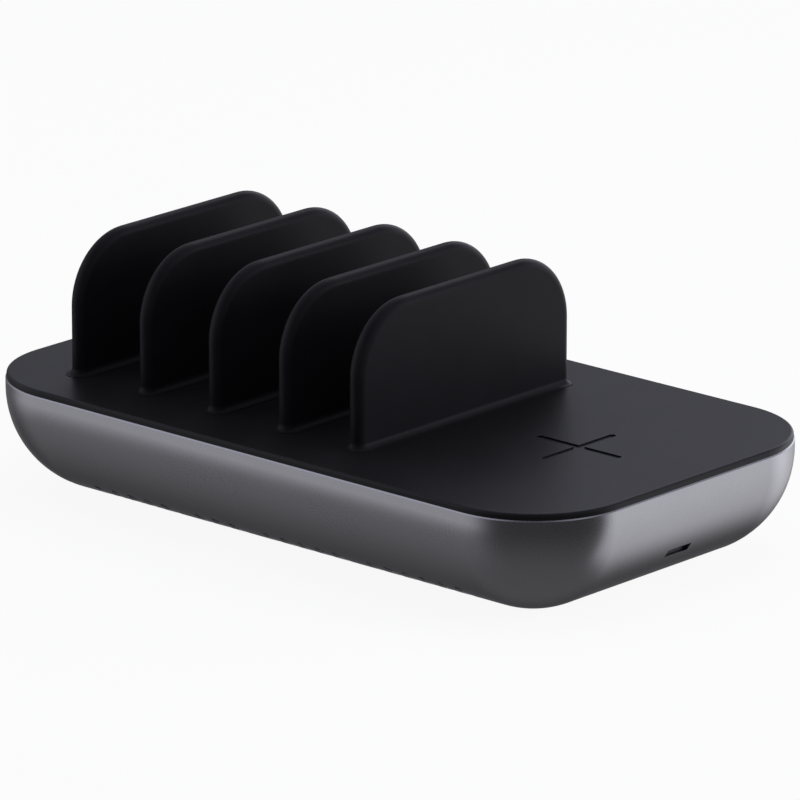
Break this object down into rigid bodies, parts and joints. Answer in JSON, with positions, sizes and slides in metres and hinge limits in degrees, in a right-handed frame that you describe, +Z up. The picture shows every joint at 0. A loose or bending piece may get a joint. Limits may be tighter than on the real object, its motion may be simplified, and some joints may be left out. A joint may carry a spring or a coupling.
{
  "type": "charging station organizer",
  "caption": "Low rounded base with upright dividers that hold phones and tablets on edge, a flat wireless charging spot beside them, and ports in its back.",
  "frame": {"origin": "centre of the base, on the surface that the pad stands on", "axes": "+X along the base towards the charging spot, +Y to the back with the ports, +Z up"},
  "size_m": [0.205, 0.1166, 0.0701],
  "materials": {
    "shell": "fine bead-blasted, dark grey metal",
    "deck": "soft-touch matt black",
    "divider": "soft-touch matt black",
    "screw": "zinc-plated steel",
    "pad": "matt black silicone",
    "panel": "fine-grained black",
    "inlet": "plain black",
    "contact": "nickel-plated",
    "port_shell": "nickel-plated sheet",
    "tongue_black": "moulded black",
    "tongue_white": "moulded white",
    "board": "green solder mask",
    "component": "moulded dark grey",
    "core": "bare ferrite, dark grey",
    "winding": "yellow tape over the winding",
    "copper": "enamelled copper wire",
    "carrier": "natural white",
    "capacitor": "dark blue sleeve",
    "film_capacitor": "yellow box",
    "fuse": "ceramic tube",
    "heat_sink": "bare",
    "light": "smoked moulded bar",
    "wire_mains": "brown and plain sleeve",
    "wire_supply": "red sleeve",
    "header": "ivory moulding"
  },
  "bodies": {
    "root": {"lower_housing": "shell", "top_deck": "deck", "divider_1": "divider", "divider_2": "divider", "divider_3": "divider", "divider_4": "divider", "divider_5": "divider", "divider_screws": "screw", "case_screws": "screw", "base_pad": "pad", "port_panel": "panel", "inlet_body": "inlet", "inlet_pins": "contact", "usb_board": "board", "usb_c_shell_1": "port_shell", "usb_c_shell_2": "port_shell", "usb_a_shell_1": "port_shell", "usb_a_shell_2": "port_shell", "usb_c_tongue_1": "tongue_black", "usb_c_tongue_2": "tongue_black", "usb_a_tongue_1": "tongue_white", "usb_a_tongue_2": "tongue_white", "usb_board_inductors": "component", "light_pipe": "light", "status_led": "tongue_white", "coil_carrier": "carrier", "ferrite_sheet": "component", "charging_coil": "copper", "carrier_screws": "screw", "charging_board": "board", "charging_board_inductors": "component", "insulating_tray": "carrier", "power_board": "board", "transformer_core": "core", "transformer_bobbin": "winding", "input_capacitors": "capacitor", "line_choke": "core", "safety_capacitor": "film_capacitor", "line_fuse": "fuse", "heat_sink": "heat_sink", "power_transistor": "component", "output_capacitors": "capacitor", "board_screws": "screw", "wire_headers": "header", "mains_wires": "wire_mains", "usb_supply_wires": "wire_supply", "charging_supply_wires": "wire_supply", "coil_leads": "copper"}
  },
  "joints": []
}
